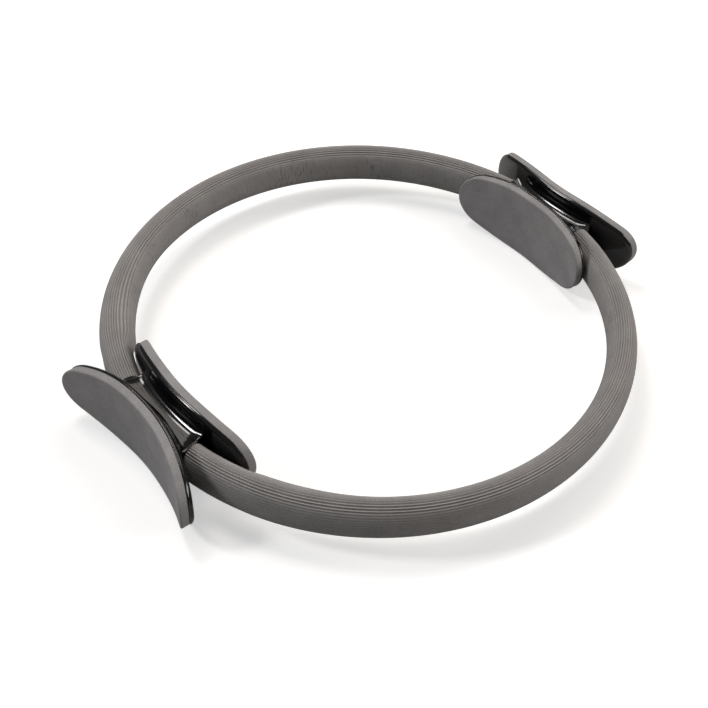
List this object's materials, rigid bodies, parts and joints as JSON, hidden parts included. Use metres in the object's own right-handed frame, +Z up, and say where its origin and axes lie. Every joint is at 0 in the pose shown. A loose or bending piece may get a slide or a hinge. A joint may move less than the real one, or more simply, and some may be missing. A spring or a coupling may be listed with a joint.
{
  "type": "pilates ring",
  "caption": "Springy exercise hoop in ribbed grey foam with opposed black handles, each with curved foam pads outside and inside the hoop; squeezed by hand, it springs back.",
  "frame": {"origin": "on the floor, below the middle of the hoop as it lies flat on the lower edges of its handle plates", "axes": "+X from the near handle to the far handle, +Y across the hoop, +Z up, along the hoop's own axis"},
  "size_m": [0.4114, 0.3766, 0.055],
  "materials": {
    "fibreglass": "resin-bound glass fibre, dull",
    "sleeve_foam": "closed-cell EVA foam, matte, ribbed lengthwise",
    "pad_foam": "closed-cell EVA foam, matte, fine grain",
    "black_abs": "moulded ABS, glossy",
    "zinc_steel": "zinc plated"
  },
  "bodies": {
    "near_handle": {"near_outer_shell": "black_abs", "near_inner_shell": "black_abs", "near_outer_pad": "pad_foam", "near_inner_pad": "pad_foam", "near_screws": "zinc_steel", "back_sleeve": "sleeve_foam", "front_sleeve": "sleeve_foam", "back_core_strip": "fibreglass", "front_core_strip": "fibreglass"},
    "far_handle": {"far_outer_shell": "black_abs", "far_inner_shell": "black_abs", "far_outer_pad": "pad_foam", "far_inner_pad": "pad_foam", "far_screws": "zinc_steel"}
  },
  "joints": [
    {"name": "squeeze", "type": "slide", "parent": "near_handle", "child": "far_handle", "axis": [-1, 0, 0], "range_m": [-0.025, 0.06], "stiffness_N_per_m": 2400, "deforming": ["back_sleeve", "front_sleeve", "back_core_strip", "front_core_strip"]}
  ]
}
